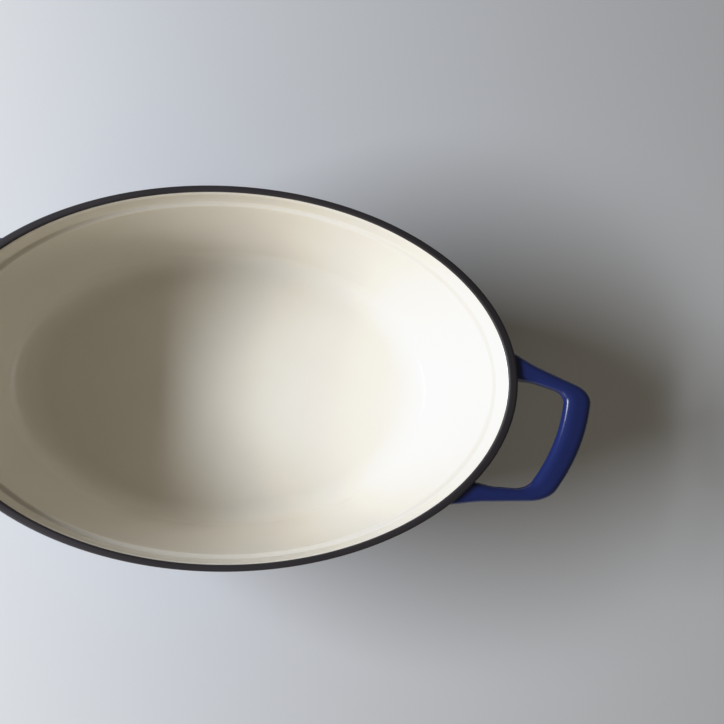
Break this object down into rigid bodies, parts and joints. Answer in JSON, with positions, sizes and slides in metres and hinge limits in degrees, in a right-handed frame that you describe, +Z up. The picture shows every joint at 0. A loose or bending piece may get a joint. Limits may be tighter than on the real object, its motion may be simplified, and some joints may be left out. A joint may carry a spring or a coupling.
{
  "type": "dutch oven",
  "caption": "Open oval cooking pot of enamelled cast iron, with a leaning wall, a round between wall and floor, and a loop handle at each end.",
  "frame": {"origin": "centre of the foot ring, on the surface that the pot stands on", "axes": "+X along the pot's length, +Y across it, +Z up out of the mouth"},
  "size_m": [0.433, 0.2176, 0.105],
  "materials": {
    "cast_iron": "bare ground iron",
    "cream_enamel": "glossy fired enamel",
    "blue_enamel": "glossy fired enamel",
    "black_enamel": "matt fired enamel"
  },
  "bodies": {
    "root": {"pot_casting": "cast_iron", "foot_ring": "cast_iron", "right_handle_casting": "cast_iron", "left_handle_casting": "cast_iron", "interior_enamel": "cream_enamel", "exterior_enamel": "blue_enamel", "rim_enamel": "black_enamel", "base_enamel": "black_enamel", "right_handle_enamel": "blue_enamel", "left_handle_enamel": "blue_enamel"}
  },
  "joints": []
}
